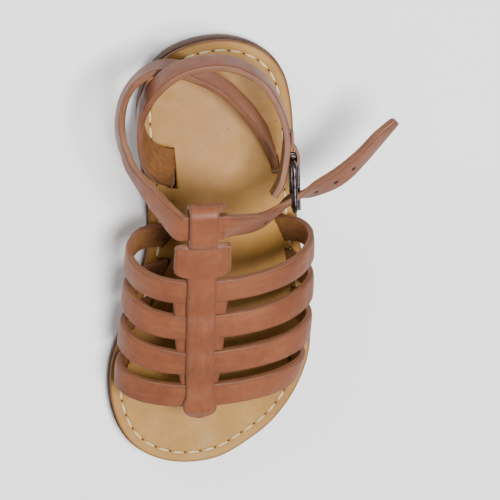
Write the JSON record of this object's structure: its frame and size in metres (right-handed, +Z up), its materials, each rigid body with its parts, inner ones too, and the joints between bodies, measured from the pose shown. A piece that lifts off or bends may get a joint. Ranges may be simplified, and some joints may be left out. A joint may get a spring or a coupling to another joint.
{
  "type": "gladiator sandal",
  "caption": "Left child's gladiator sandal in tan leather: woven vamp straps through a T strap, looped ankle strap, heel strap with buckle, flat layered sole",
  "frame": {"origin": "on the floor under the middle of the heel, at the heel lift's flat rest", "axes": "+Y from toe to heel, +X to the outer side of the left foot, +Z up"},
  "size_m": [0.0911, 0.143, 0.0628],
  "materials": {
    "strap_leather": "smooth vegetable tan, light burnished edges",
    "insole_leather": "natural, worn satin",
    "sole_leather": "rough, stained",
    "heel_rubber": "matt, pitted",
    "pad_rubber": "matt, fine crepe",
    "buckle_metal": "dark antiqued"
  },
  "bodies": {
    "root": {"outsole": "sole_leather", "heel_lift": "heel_rubber", "forefoot_pad": "pad_rubber", "insole": "insole_leather", "upper": "strap_leather", "ankle_strap": "strap_leather", "heel_strap": "strap_leather", "buckle_frame": "buckle_metal", "buckle_prong": "buckle_metal"}
  },
  "joints": []
}
